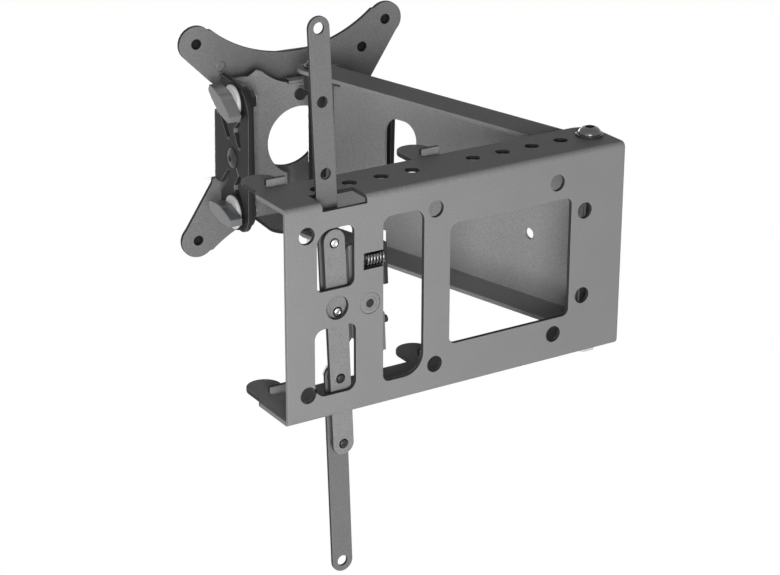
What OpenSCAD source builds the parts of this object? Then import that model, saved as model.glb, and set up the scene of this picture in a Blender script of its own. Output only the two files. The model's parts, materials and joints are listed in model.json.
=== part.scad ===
/* [Wall channel] */
// Length of the channel along the wall
channel_length = 164; // [150:1:200]
// Height of the channel over both flanges
channel_height = 92.2; // [90:0.2:104]
// Depth of the flanges from the wall
channel_depth = 27.4; // [25:0.2:34]
// Thickness of the folded sheet
sheet = 2; // [1.6:0.1:2.4]
// Outer radius of the bends
bend = 2.5; // [2.4:0.1:3.5]
// Distance from the middle pair of wall holes to the channel's left end
left_end = 69.5; // [66:0.5:80]
// Spacing of the wall holes along the channel
wall_pitch = 60; // [56:1:64]
// Spacing of the wall holes up the channel
wall_rise = 68; // [66:1:72]
// Diameter of the wall holes
wall_hole = 7; // [5:0.5:8]
// Spacing up the channel of the extra pair at the right end
end_rise = 38.4; // [34:0.4:44]
// Distance of that pair from the middle pair
end_x = 74.5; // [73:0.5:76]
// Diameter of the holes in the top flange
flange_hole = 6; // [4:0.5:7]
// Spacing of the holes in the top flange
flange_pitch = 14.8; // [13:0.2:16]

/* [Folding arm] */
// Angle between the arm and the wall
arm_angle = 75.3; // [60:0.1:100]
// Distance from the pivot bolt to the swivel bolt
arm_reach = 162.3; // [150:0.1:180]
// Height of the arm over both flanges
arm_height = 83.5; // [80:0.1:84]
// Width of the arm's flanges
arm_width = 18; // [16:0.5:20]
// Distance from the pivot bolt to the outer face of the arm's web
arm_back = 7.6; // [7:0.1:8.4]
// Height of the arm's window
arm_window_height = 31.6; // [28:0.2:36]
// Length of the arm's window
arm_window_length = 20; // [18:0.5:24]

/* [Pivot and swivel bolts] */
// Diameter of the pivot and swivel bolts
bolt = 6; // [5:0.5:7]
// Running clearance on a bolt's radius
running = 0.05; // [0.02:0.01:0.1]
// Distance of the pivot bolt from the middle pair of wall holes
pivot_x = 86.8; // [86:0.1:88]
// Distance of the pivot bolt from the wall
pivot_y = 15; // [14:0.5:16]
// Width of a bolt's washers
washer = 12; // [11:0.5:13]
// Thickness of a washer under a head or a nut
washer_thick = 1; // [0.8:0.1:1.4]
// Gap between the top flanges of the wall channel and the arm
top_gap = 1; // [0.8:0.1:1.4]

/* [Head] */
// Swivel angle of the head, negative to the right
head_yaw = -4.26; // [-30:0.01:30]
// Forward tilt of the screen plate
screen_tilt = 2.45; // [-5:0.01:10]
// Spacing of the outer screen holes
screen_pitch = 100; // [100:1:100]
// Spacing of the inner screen holes
screen_pitch_small = 75; // [75:1:75]
// Thickness of the head's plates
head_sheet = 2.2; // [2:0.1:3]
// Outside width of the screen plate between its ears
ear_width = 77; // [75:0.5:80]
// Distance from the swivel bolt to the front of the tilt bracket
bracket_y = 18.5; // [17:0.5:20]
// Distance from the swivel bolt to the front of the screen plate
screen_y = 33.4; // [32:0.2:36]
// Distance from the swivel bolt to the tilt pivot
tilt_y = 12; // [11:0.5:13]
// Half the distance between the wing knobs
knob_arm = 27.7; // [26.5:0.1:28.5]
// Diameter of the knobs' studs
stud = 5; // [4.5:0.5:6]
// Length of a knob's wing
wing_length = 25; // [22:0.5:28]

/* [Lock lever] */
// Lean of the lever, with its top to the left
lever_lean = 2.46; // [0:0.01:4]
// Spacing of the holes along the lever and the strips
strip_pitch = 29.5; // [28:0.1:31]
// Width of the lever's bar
bar_width = 9.7; // [8:0.1:11]
// Thickness of the pull strips
strip_thick = 1.5; // [1:0.1:2]
// Diameter of the strips' screws
screw = 4; // [3:0.5:4.5]
// Number of the return spring's curls
curls = 6; // [4:1:6]
// Diameter of the spring's wire
wire = 0.8; // [0.6:0.1:0.9]
// Outside diameter of the spring
spring_width = 6.2; // [5:0.1:6.4]

/* [Hidden] */
$fn = 64;
cut = 1;
channel_left = -left_end;
channel_right = channel_left + channel_length;
drawn_height = 92.2;
top_and_bottom = 2 * sheet + top_gap + 1;
arm_rise = arm_height + channel_height - drawn_height;
channel_rise = max(channel_height, arm_rise + top_and_bottom);
channel_top = channel_rise / 2;
bolt_r = bolt / 2;
bore_r = bolt_r + running;
head_r = bolt_r + 1.9;
head_rise = 3.4;
nut_r = bolt_r * 1.9;
nut_rise = 4.6;
arm_top = channel_top - sheet - top_gap;
arm_bottom = arm_top - arm_rise;
arm_middle = (arm_top + arm_bottom) / 2;
arm_free = arm_width - arm_back;
arm_mid_line = arm_free - arm_width / 2;
arm_web_end = arm_reach - 4.3;
spacer_bottom = -channel_top + sheet;

// Shapes shared by the pieces

// A plate standing in the plane of the wall, between two distances from it
module upright(near, far) {
    translate([0, far, 0])
        rotate([90, 0, 0])
            linear_extrude(height = far - near)
                children();
}

// A plate lying flat between two heights
module flat(low, high) {
    translate([0, 0, low])
        linear_extrude(height = high - low)
            children();
}

// A plate square to the wall, between two places along it
module sideways(left, right) {
    translate([left, 0, 0])
        rotate([90, 0, 90])
            linear_extrude(height = right - left)
                children();
}

// A rectangle with its own radius at each corner, anticlockwise from the lower left
module soft_rectangle(low, high, radii) {
    centres = [
        [low.x + radii[0], low.y + radii[0]],
        [high.x - radii[1], low.y + radii[1]],
        [high.x - radii[2], high.y - radii[2]],
        [low.x + radii[3], high.y - radii[3]],
    ];
    polygon([
        [low.x + radii[0], low.y],
        [high.x - radii[1], low.y],
        [high.x, low.y + radii[1]],
        [high.x, high.y - radii[2]],
        [high.x - radii[2], high.y],
        [low.x + radii[3], high.y],
        [low.x, high.y - radii[3]],
        [low.x, low.y + radii[0]],
    ]);
    for (i = [0:3])
        if (radii[i] > 0)
            translate(centres[i])
                circle(r = radii[i]);
}

// A slot with round ends between two points
module slot(from, to, width) {
    length = norm(to - from);
    angle = atan2(to.y - from.y, to.x - from.x);
    translate(from)
        rotate(angle) {
            translate([0, -width / 2])
                square([length, width]);
            circle(d = width);
            translate([length, 0])
                circle(d = width);
        }
}

// A solid slot along Z that follows a circle about its own centre, its end rounds a hair
// narrower than its sides so that the two never graze
module arc_slot(radius, from_angle, to_angle, width, length) {
    end_width = width - 0.1;
    rotate([0, 0, from_angle])
        rotate_extrude(angle = to_angle - from_angle, $fn = 128)
            translate([radius - width / 2, 0])
                square([width, length]);
    for (angle = [from_angle, to_angle])
        rotate([0, 0, angle])
            translate([radius, 0, 0])
                cylinder(d = end_width, h = length);
}

// The outline of a block with two rounded corners at its web
module web_block(depth, height, r) {
    translate([r, -height / 2])
        square([depth - r, height]);
    translate([0, -height / 2 + r])
        square([depth, height - 2 * r]);
    for (side = [-1, 1])
        translate([r, side * (height / 2 - r)])
            circle(r = r);
}

// The section of a channel folded from sheet, its web at the origin
module channel_section(depth, height, thick, radius) {
    difference() {
        web_block(depth, height, radius);
        translate([thick, 0])
            web_block(depth, height - 2 * thick, max(radius - thick, 0.2));
    }
}

module ring(outer, inner, low, high) {
    translate([0, 0, low])
        difference() {
            cylinder(r = outer, h = high - low);
            translate([0, 0, -cut])
                cylinder(r = inner, h = high - low + 2 * cut);
        }
}

// A hexagonal nut with a round bore, standing on a height
module hex_nut(across_corners_r, inner, low, high) {
    translate([0, 0, low])
        difference() {
            cylinder(r = across_corners_r, h = high - low, $fn = 6);
            translate([0, 0, -cut])
                cylinder(r = inner, h = high - low + 2 * cut);
        }
}

// A button head with a hexagonal socket, its seat at a height
module button_head(radius, rise, seat, socket) {
    translate([0, 0, seat])
        difference() {
            rotate_extrude()
                button_half(radius, rise);
            translate([0, 0, rise * 0.4])
                cylinder(r = socket, h = rise, $fn = 6);
        }
}

module button_half(radius, rise) {
    rim = rise * 0.25;
    dome = (radius * radius + (rise - rim) * (rise - rim)) / (2 * (rise - rim));
    intersection() {
        square([radius, rise]);
        translate([0, rise - dome])
            circle(r = dome, $fn = 128);
    }
}

// Wall channel

wall_xs = [-wall_pitch, 0, wall_pitch];
access_hole = [-46.3, 1.1];
access_width = 10;
lever_pivot = [-31.1, -0.2];
rivet_head = 9;
window_corner = 3;
screw_window = [[-55.5, 9.3], [-38.5, 35]];
bar_window = [[-56.8, -36], [-37.9, -7]];
spring_window = [[-24.9, -36.3], [-5.7, 35.2]];
cable_window = [[7.1, -26.7], [67.5, 26.2]];
spring_z = 18.1;
spring_gap = 0.35;
spring_slot_left = -34;
first_flange_hole = -45.8;
flange_hole_y = 16.2;
notch_left = -52.7;
notch_right = -32.5;
notch_back = 11.5;
notch_low = channel_top - 3.4;
lower_notch_left = -56.5;
lower_notch_right = -34;
corner_left = 4;
corner_right = 9;
tongue_width = 15;
tongue_neck = 6;
tongue_slit = 2;
tongue_reach = 17;
tongue_lip = 2.6;
tongue_xs = [-67.5, 5.5];

module wall_channel() {
    color([0.34, 0.34, 0.35])
        difference() {
            union() {
                intersection() {
                    sideways(channel_left, channel_right)
                        channel_section(channel_depth, channel_rise, sheet, bend);
                    flat(-channel_top - cut, channel_top + cut)
                        soft_rectangle(
                            [channel_left, -cut], [channel_right, channel_depth],
                            [0, 0, corner_right, corner_left]);
                }
                for (x = tongue_xs)
                    for (low = [channel_top - sheet, -channel_top])
                        tongue(x, low);
            }
            web_cuts();
            flange_cuts();
        }
}

module web_cuts() {
    upright(-cut, sheet + cut) {
        for (x = wall_xs)
            for (side = [-1, 1])
                translate([x, side * wall_rise / 2])
                    circle(d = wall_hole);
        for (side = [-1, 1])
            translate([end_x, side * end_rise / 2])
                circle(d = wall_hole);
        soft_rectangle(screw_window[0], screw_window[1], [2, window_corner, window_corner, 7]);
        soft_rectangle(bar_window[0], bar_window[1], [5, 4, window_corner, 4]);
        soft_rectangle(spring_window[0], spring_window[1], [3, 9, 5, 4]);
        soft_rectangle(cable_window[0], cable_window[1], [window_corner, window_corner, window_corner, 4]);
        translate(access_hole)
            circle(d = access_width);
        translate([spring_slot_left, spring_z - spring_width / 2 - spring_gap])
            square([spring_window[0].x - spring_slot_left + cut, spring_width + 2 * spring_gap]);
        translate(lever_pivot)
            circle(d = rivet_head);
    }
}

module flange_cuts() {
    flat(channel_top - sheet - cut, channel_top + cut)
        for (i = [0:8])
            if (i != 4)
                translate([first_flange_hole + i * flange_pitch, flange_hole_y])
                    circle(d = flange_hole);
    translate([pivot_x, pivot_y, -channel_top - cut])
        cylinder(r = bore_r, h = channel_rise + 2 * cut);
    translate([notch_left, -cut, notch_low])
        cube([notch_right - notch_left, notch_back + cut, channel_top]);
    translate([lower_notch_left, sheet, -channel_top - cut])
        cube([lower_notch_right - lower_notch_left, notch_back - sheet, sheet + bend + cut]);
}

// A leaf that the cables are tied to, with its front edge turned up
module tongue(x, low) {
    front = channel_depth + tongue_slit;
    round_r = tongue_width / 2;
    flat(low, low + sheet) {
        translate([x, channel_depth - cut])
            square([tongue_neck, tongue_slit + 2 * cut]);
        translate([x, front])
            square([tongue_width, tongue_reach - tongue_slit - round_r]);
        translate([x + round_r, channel_depth + tongue_reach - round_r])
            circle(r = round_r);
    }
    flat(low, low + sheet + tongue_lip)
        translate([x + tongue_neck, front])
            square([tongue_width - tongue_neck, sheet]);
}

// Pivot of the arm

module at_pivot() {
    translate([pivot_x, pivot_y, 0])
        children();
}

module pivot_bolt() {
    color([0.28, 0.28, 0.29])
        at_pivot() {
            button_head(head_r, head_rise, channel_top + washer_thick, bolt_r * 0.75);
            translate([0, 0, -channel_top - washer_thick - nut_rise - 1])
                cylinder(r = bolt_r, h = channel_rise + 2 * washer_thick + nut_rise + 1 + 0.2);
        }
}

module pivot_washers() {
    color([0.55, 0.55, 0.56])
        at_pivot() {
            ring(washer / 2, bore_r, channel_top, channel_top + washer_thick);
            ring(washer / 2, bore_r, -channel_top - washer_thick, -channel_top);
        }
}

module pivot_spacers() {
    color([0.8, 0.8, 0.78])
        at_pivot() {
            ring(washer / 2, bore_r, arm_top, arm_top + top_gap);
            ring(washer / 2, bore_r, spacer_bottom, arm_bottom);
        }
}

module pivot_nut() {
    color([0.55, 0.55, 0.56])
        at_pivot()
            hex_nut(
                nut_r, bore_r,
                -channel_top - washer_thick - nut_rise, -channel_top - washer_thick);
}

// Lock lever, its strips and its spring

lever_front = 3;
lobe_front = 6;
lever_line = -13.5;
first_screw = 28.2;
lever_screws = [for (i = [0:3]) [lever_line, first_screw - i * strip_pitch]];
bar_left = lever_line - bar_width / 2;
bar_right = lever_line + bar_width / 2;
bar_top = first_screw + 1;
lobe_top = 24.2;
lobe_side = 10.2;
lobe_low = -16;
upper_lobe = [5.2, 23.3];
lower_lobe = [-25.4, -8.6];
recess_side = 5;
joggle_back = 0.5;
spacer_inset = 0.9;
hook_range = [6, 14];
hook_side = 12.6;
hook_back = 28.2;
lower_ear_back = 14;
upper_ear_back = 14;
ear_front_y = 2.3;
screw_r = screw / 2;
screw_head = 7.4;
screw_head_rise = 0.7;
strip_front = lever_front + sheet + 2.3;
strip_back = strip_front + strip_thick;
strip_nut_rise = 2.6;

// Turns a piece with the lever, about its rivet
module on_lever() {
    translate([lever_pivot.x, 0, lever_pivot.y])
        rotate([0, -lever_lean, 0])
            children();
}

module lock_lever() {
    color([0.33, 0.33, 0.34])
        on_lever()
            difference() {
                union() {
                    lever_bar();
                    lever_lobes();
                    lever_ears();
                }
                upright(lever_front - cut, lobe_front + sheet + cut) {
                    for (place = lever_screws)
                        translate(place)
                            circle(r = screw_r + running);
                    circle(r = rivet_neck_r + running);
                }
                translate([lobe_side - 3 * sheet, pin_y, pin_z])
                    rotate([0, 90, 0])
                        cylinder(r = pin_r, h = 4 * sheet);
            }
}

module lever_bar() {
    upright(lever_front, lever_front + sheet)
        slot([lever_line, bar_top], lever_screws[3], bar_width);
}

// The offset plate to the right of the bar
module lever_lobes() {
    flat(lobe_low, lobe_top)
        polygon([
            [bar_right - sheet, lever_front],
            [bar_right, lever_front],
            [bar_right + lobe_front - lever_front, lobe_front],
            [bar_right + 2 * sheet, lobe_front],
            [bar_right + 2 * sheet, lobe_front + sheet],
            [bar_right + lobe_front - lever_front - joggle_back, lobe_front + sheet],
            [bar_right - joggle_back, lever_front + sheet],
            [bar_right - sheet, lever_front + sheet],
        ]);
    upright(lobe_front, lobe_front + sheet)
        difference() {
            polygon([
                [bar_right + sheet + 1, lobe_low],
                [recess_side, lower_lobe[0]],
                [lobe_side, lower_lobe[0]],
                [lobe_side, upper_lobe[1]],
                [lobe_side - sheet, lobe_top],
                [bar_right + sheet + 1, lobe_top],
            ]);
            translate([recess_side + sheet, lower_lobe[1]])
                square([lobe_side, upper_lobe[0] - lower_lobe[1]]);
        }
}

// The two ears bent back, the upper one with a hook for the arm's window
module lever_ears() {
    sideways(lobe_side - sheet, lobe_side) {
        translate([ear_front_y, upper_lobe[0]])
            square([upper_ear_back - ear_front_y, upper_lobe[1] - upper_lobe[0]]);
        translate([lobe_front, hook_range[0]])
            square([hook_back + sheet - lobe_front, hook_range[1] - hook_range[0]]);
        translate([lobe_front, lower_lobe[0]])
            square([lower_ear_back - lobe_front, lower_lobe[1] - lower_lobe[0]]);
    }
    translate([lobe_side - sheet, hook_back, hook_range[0]])
        cube([hook_side - lobe_side + sheet, sheet, hook_range[1] - hook_range[0]]);
}

rivet_neck_r = 2.9;

module lever_rivet() {
    color([0.4, 0.4, 0.41])
        on_lever()
            rotate([-90, 0, 0])
                difference() {
                    union() {
                        translate([0, 0, 0.1])
                            cylinder(d = rivet_head, h = sheet - 0.1);
                        cylinder(r = rivet_neck_r, h = lobe_front + sheet + 1.2);
                        translate([0, 0, lobe_front + sheet])
                            cylinder(r = rivet_neck_r + 1.4, h = 1.2);
                    }
                    translate([0, 0, -cut])
                        cylinder(r = 1.8, h = 5);
                }
}

module lever_bush() {
    color([0.75, 0.75, 0.73])
        on_lever()
            rotate([-90, 0, 0])
                ring(rivet_head / 2 + 0.5, rivet_neck_r + running, sheet, lobe_front);
}

upper_strip_top = 115.0;

module upper_strip() {
    color([0.36, 0.36, 0.37])
        on_lever()
            upright(strip_front, strip_back)
                difference() {
                    slot([lever_line, upper_strip_top], lever_screws[1], bar_width - 0.2);
                    for (i = [0:2])
                        translate([lever_line, upper_strip_top - i * strip_pitch])
                            circle(d = 4.6);
                    for (i = [0, 1])
                        translate(lever_screws[i])
                            circle(r = screw_r + running);
                }
}

lower_strip_low = -117;
lower_strip_drift = 0.7;

module lower_strip() {
    color([0.36, 0.36, 0.37])
        on_lever()
            upright(strip_front, strip_back)
                difference() {
                    slot([lever_line - lower_strip_drift, lower_strip_low], lever_screws[2], bar_width);
                    translate([lever_line - lower_strip_drift, lower_strip_low])
                        circle(d = 4.6);
                    for (i = [2, 3])
                        translate(lever_screws[i])
                            circle(r = screw_r + running);
                }
}

// A low screw through the lever, a spacer and a strip
module strip_screw() {
    rotate([-90, 0, 0])
        difference() {
            union() {
                translate([0, 0, lever_front - screw_head_rise])
                    cylinder(d = screw_head, h = screw_head_rise);
                translate([0, 0, lever_front - screw_head_rise])
                    cylinder(r = screw_r, h = strip_back + strip_nut_rise - lever_front + 1.2);
            }
            translate([0, 0, lever_front - screw_head_rise - cut])
                cylinder(r = 1.3, h = cut + 2, $fn = 6);
        }
}

module at_lever_screws(which) {
    for (i = which)
        on_lever()
            translate([lever_screws[i].x, 0, lever_screws[i].y])
                children();
}

module zinc_screws() {
    color([0.85, 0.86, 0.88])
        at_lever_screws([0, 1])
            strip_screw();
}

module lower_strip_screws() {
    color([0.2, 0.2, 0.21])
        at_lever_screws([2, 3])
            strip_screw();
}

module strip_spacers() {
    color([0.3, 0.3, 0.31])
        at_lever_screws([0, 1, 2, 3])
            rotate([-90, 0, 0])
                ring(bar_width / 2 - spacer_inset, screw_r + running, lever_front + sheet, strip_front);
}

module strip_nuts() {
    color([0.6, 0.6, 0.61])
        at_lever_screws([0, 1, 2, 3])
            rotate([-90, 0, 0])
                hex_nut(screw_r * 1.95, screw_r + running, strip_back, strip_back + strip_nut_rise);
}

pin_r = 1.65;
pin_y = 10.6;
pin_z = -13.8;

module latch_pin() {
    color([0.3, 0.3, 0.31])
        on_lever()
            translate([lobe_side - sheet - 2, pin_y, pin_z])
                rotate([0, 90, 0]) {
                    cylinder(r = pin_r, h = sheet + 5.4);
                    translate([0, 0, sheet + 2])
                        cylinder(r = pin_r + 0.8, h = 0.9);
                }
}

// The spring is one wire: a straight tail, a quarter bend, the curls, and the same again
spring_y = 2.6;
coil_r = (spring_width - wire) / 2;
coil_pitch = wire + 0.6;
tail_bend = wire * 1.1;
tail_length = wire * 1.1;
ring_steps = 8;
wire_sides = 6;
coil_start = spring_slot_left + tail_length + tail_bend;
tail_height = spring_z + coil_r - lever_pivot.y;
tail_end = lever_pivot.x + (lobe_side - sheet) * cos(lever_lean) - tail_height * sin(lever_lean);

function coil_point(turn) = [
    coil_start + turn * coil_pitch,
    spring_y + coil_r * sin(360 * turn),
    spring_z + coil_r * cos(360 * turn),
];
spring_path = concat(
    [[spring_slot_left, spring_y - tail_bend, spring_z + coil_r]],
    [for (a = [0:30:60]) coil_point(0) + tail_bend * [sin(a) - 1, -cos(a), 0]],
    [for (i = [0:curls * ring_steps]) coil_point(i / ring_steps)],
    [for (a = [30:30:90]) coil_point(curls) + tail_bend * [1 - cos(a), sin(a), 0]],
    [[tail_end, spring_y + tail_bend, spring_z + coil_r]]
);

function unit(v) = v / norm(v);
function direction(path, i) =
    i == 0 || i == len(path) - 1
        ? [1, 0, 0]
        : unit(unit(path[i + 1] - path[i]) + unit(path[i] - path[i - 1]));
function swept_ring(path, i, r, sides) =
    let (ahead = direction(path, i))
    let (outward = unit(cross(cross(ahead, path[i] - [path[i].x, spring_y, spring_z]), ahead)))
    let (across = cross(ahead, outward))
    [for (k = [0:sides - 1]) path[i] + r * (cos(360 * k / sides) * outward + sin(360 * k / sides) * across)];
function tube_faces(rings, sides) = concat(
    [for (i = [0:rings - 2]) for (k = [0:sides - 1])
        each let (a = i * sides + k, b = i * sides + (k + 1) % sides)
            [[a, b, b + sides], [a, b + sides, a + sides]]],
    [for (k = [1:sides - 2]) [0, k + 1, k]],
    [for (k = [1:sides - 2]) let (base = (rings - 1) * sides) [base, base + k, base + k + 1]]
);
function least_gap(path, skip) =
    min([for (i = [0:len(path) - 1]) for (j = [i + skip:1:len(path) - 1]) norm(path[i] - path[j])]) - wire;

module return_spring() {
    echo(least_gap_of_spring = least_gap(spring_path, 5));
    color([0.12, 0.12, 0.12])
        polyhedron(
            points = [for (i = [0:len(spring_path) - 1]) each swept_ring(spring_path, i, wire / 2, wire_sides)],
            faces = tube_faces(len(spring_path), wire_sides));
}

// Folding arm

arm_window_start = 105;
arm_window_low = arm_middle - 7.4;
arm_window_round = 8;
arm_hole = [36.5, -9.4];
web_start = -5;
top_relief = [4, 9.8];
lug_relief = [34, 9.5];

// Carries a piece from the arm's own frame, with X along the arm, to its place
module on_arm() {
    translate([pivot_x, pivot_y, 0])
        rotate([0, 0, 180 - arm_angle])
            children();
}

module folding_arm() {
    color([0.36, 0.36, 0.37])
        on_arm()
            difference() {
                union() {
                    arm_fold();
                    for (low = [arm_top - sheet, arm_bottom])
                        flat(low, low + sheet)
                            arm_flange_outline();
                }
                arm_cuts();
            }
}

// The straight part with the web and the start of both flanges
module arm_fold() {
    translate([0, -arm_back, arm_middle])
        sideways(web_start, arm_web_end)
            channel_section(arm_width / 2, arm_rise, sheet, bend);
}

module arm_flange_outline() {
    end_r = arm_width / 2;
    intersection() {
        union() {
            translate([0, arm_mid_line])
                circle(r = end_r);
            translate([arm_reach, arm_mid_line])
                circle(r = end_r);
            translate([0, -arm_back])
                square([arm_reach, arm_width]);
        }
        union() {
            translate([-arm_width, -arm_back + bend])
                square([arm_reach + 2 * arm_width, arm_width]);
            translate([arm_web_end, -arm_back])
                square([arm_width, arm_width]);
        }
    }
}

module arm_cuts() {
    translate([0, 0, arm_bottom - cut]) {
        cylinder(r = bore_r, h = arm_rise + 2 * cut);
        translate([arm_reach, arm_mid_line, 0])
            cylinder(r = bore_r, h = arm_rise + 2 * cut);
    }
    upright(-arm_back - cut, -arm_back + sheet + cut) {
        soft_rectangle(
            [arm_window_start, arm_window_low],
            [arm_window_start + arm_window_length, arm_window_low + arm_window_height],
            [arm_window_round, arm_window_round, arm_window_round, arm_window_round]);
        translate(arm_hole)
            circle(d = 5);
        translate([arm_web_end - top_relief.x, arm_top - top_relief.y])
            square([top_relief.x + cut, top_relief.y - sheet]);
        translate([arm_web_end - lug_relief.x, arm_bottom + sheet])
            square([lug_relief.x + cut, lug_relief.y - sheet]);
    }
}

// Swivel bolt and the head's own frame

// Carries a piece from the swivel bolt's line to its place
module at_swivel() {
    on_arm()
        translate([arm_reach, arm_mid_line, 0])
            children();
}

// Carries a piece from the head's frame, with X across the head and Y away from the wall
module on_head() {
    at_swivel()
        rotate([0, 0, arm_angle - 180 + head_yaw])
            children();
}

top_spacer = 8.2;
low_spacer = 2.4;
lug_top = arm_top - sheet - top_spacer;
lug_bottom = arm_bottom + sheet + low_spacer;
swivel_nut_low = arm_bottom - washer_thick - nut_rise;

module swivel_bolt() {
    color([0.28, 0.28, 0.29])
        at_swivel() {
            button_head(head_r, head_rise, arm_top + washer_thick, bolt_r * 0.75);
            translate([0, 0, swivel_nut_low - 1])
                cylinder(r = bolt_r, h = arm_top + washer_thick - swivel_nut_low + 1.2);
        }
}

module swivel_washers() {
    color([0.55, 0.55, 0.56])
        at_swivel() {
            ring(washer / 2, bore_r, arm_top, arm_top + washer_thick);
            ring(washer / 2, bore_r, arm_bottom - washer_thick, arm_bottom);
        }
}

module swivel_nut() {
    color([0.55, 0.55, 0.56])
        at_swivel()
            hex_nut(nut_r, bore_r, swivel_nut_low, swivel_nut_low + nut_rise);
}

module swivel_sleeve() {
    color([0.3, 0.3, 0.31])
        at_swivel()
            ring(bolt_r + 1.2, bore_r, lug_bottom + head_sheet, lug_top - head_sheet);
}

module swivel_spacers() {
    color([0.8, 0.8, 0.78])
        at_swivel() {
            ring(washer / 2, bore_r, lug_top, arm_top - sheet);
            ring(washer / 2, bore_r, arm_bottom + sheet, lug_bottom);
        }
}

// Tilt bracket

bracket_gap = 0.2;
bracket_width = ear_width - 2 * head_sheet - 2 * bracket_gap;
bracket_top = 37;
bracket_low = -32;
bracket_front = -3;
bracket_round = 8;
head_bend = 3;
tilt_z = 0.3;
lug_width = 13;
right_top = 24;
peak_side = 22.6;
peak_top = 39.8;
scallop_r = 28;
shoulder_r = 16;
shoulder_side = 33;
lower_lug_half = 24;
lower_lug_front = -5;
centre_hole = 34.2;
centre_z = 1.6;
centre_slot = 14;
centre_slot_low = -27;
rivet_z = 24.8;
tilt_axis = [tilt_y, tilt_z];
knob_side = 4.3;
knob_shift = 2.15;
knob_places = [for (side = [1, -1]) [tilt_y - knob_side, tilt_z + knob_shift + side * knob_arm]];
stud_slot = stud + 0.6;
tilt_reach = 13;

module tilt_bracket() {
    color([0.37, 0.37, 0.38])
        on_head()
            difference() {
                union() {
                    bracket_fold();
                    upright(bracket_y, bracket_y + head_sheet)
                        bracket_outline();
                    bracket_lugs();
                }
                bracket_cuts();
            }
}

// The two ears and the strip of plate between them, lower on the right
module bracket_fold() {
    difference() {
        bracket_ears();
        right_relief(bracket_y + head_sheet + cut);
        upright(bracket_y - cut, bracket_y + head_sheet + cut)
            translate([-peak_side, lug_top - head_sheet])
                square([2 * peak_side, bracket_top]);
    }
}

// Takes off the top of a right ear
module right_relief(back) {
    translate([ear_width / 4, 2 * ear_front, right_top])
        cube([ear_width, back - 2 * ear_front, ear_top]);
}

module bracket_ears() {
    intersection() {
        translate([0, bracket_y + head_sheet, bracket_low])
            linear_extrude(height = bracket_top - bracket_low)
                rotate(-90)
                    channel_section(
                        bracket_y + head_sheet - bracket_front, bracket_width, head_sheet, head_bend);
        sideways(-ear_width, ear_width)
            soft_rectangle(
                [bracket_front, bracket_low], [bracket_y + head_sheet, bracket_top],
                [bracket_round, 0, 0, bracket_round]);
    }
}

// The plate between the ears: a scallop at the top, a peak beside it on the left and a lower
// shoulder on the right
module bracket_outline() {
    inner = bracket_width / 2 - head_bend;
    scallop_low = lug_top - head_sheet;
    difference() {
        polygon([
            [-lower_lug_half, lug_bottom + head_sheet], [lower_lug_half, lug_bottom + head_sheet],
            [inner, bracket_low], [inner, right_top], [lug_width / 2, scallop_low + 1],
            [0, scallop_low + 1], [-peak_side, peak_top], [-peak_side, peak_top + cut], [-inner, peak_top + cut],
            [-inner, bracket_low],
        ]);
        translate([0, scallop_low + scallop_r])
            circle(r = scallop_r, $fn = 128);
        translate([-shoulder_side, bracket_top - 1 + shoulder_r])
            circle(r = shoulder_r, $fn = 128);
    }
}

module bracket_lugs() {
    end_r = lug_width / 2;
    flat(lug_top - head_sheet, lug_top) {
        circle(r = end_r);
        translate([-end_r, 0])
            square([lug_width, bracket_y + head_sheet]);
    }
    flat(lug_bottom, lug_bottom + head_sheet)
        soft_rectangle(
            [-lower_lug_half, lower_lug_front], [lower_lug_half, bracket_y + head_sheet],
            [9, 9, 0, 0]);
}

module bracket_cuts() {
    upright(bracket_y - cut, bracket_y + head_sheet + cut) {
        translate([0, centre_z])
            circle(d = centre_hole);
        translate([-centre_slot / 2, centre_slot_low])
            square([centre_slot, centre_z - centre_slot_low]);
        translate([0, rivet_z])
            circle(r = 2 + running);
    }
    translate([0, 0, lug_bottom - cut])
        cylinder(r = bore_r, h = lug_top - lug_bottom + 2 * cut);
    sideways(-ear_width, ear_width) {
        translate(tilt_axis)
            circle(r = stud / 2 + running);
    }
    for (place = knob_places)
        knob_slot(place - tilt_axis);
}

// The slot in both ears that a knob's stud slides in as the screen plate tilts
module knob_slot(offset) {
    middle = atan2(offset.y, offset.x);
    translate([-ear_width, tilt_y, tilt_z])
        rotate([90, 0, 90])
            arc_slot(norm(offset), middle - tilt_reach, middle + tilt_reach, stud_slot, 2 * ear_width);
}

module bracket_rivet() {
    color([0.5, 0.5, 0.51])
        on_head()
            translate([0, bracket_y, rivet_z])
                rotate([-90, 0, 0]) {
                    translate([0, 0, -1.2])
                        cylinder(r = 3, h = 1.2);
                    cylinder(r = 2, h = head_sheet + 0.8);
                }
}

// Screen plate, tilted about the line of its pivot screws

ear_top = 38;
ear_low = -34;
ear_front = -6;
lobe_r = 8.8;
waist = 40.3;
waist_r = 64.4;
screen_hole = 5;
screen_centre_hole = 34;
plate_side = 2.6;
plate_rise = 1.2;
return_half = 19;
return_depth = 3;
return_top = waist + plate_rise - 0.6;
ear_cut_width = 3.5;
relief_y = 26;
relief_z = 17.5;
wide_corner = [42.5, 21];
screen_back = screen_y + head_sheet;
screen_half = screen_pitch / 2;

// Carries a piece with the tilt of the screen plate
module on_screen() {
    on_head()
        translate([0, tilt_y, tilt_z])
            rotate([screen_tilt, 0, 0])
                translate([0, -tilt_y, -tilt_z])
                    children();
}

module screen_plate() {
    color([0.36, 0.36, 0.37])
        on_screen()
            difference() {
                union() {
                    screen_fold();
                    upright(screen_y, screen_back)
                        screen_outline();
                    translate([plate_side - return_half, screen_back - cut, return_top - head_sheet])
                        cube([2 * return_half, return_depth + cut, head_sheet]);
                }
                screen_cuts();
            }
}

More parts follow.
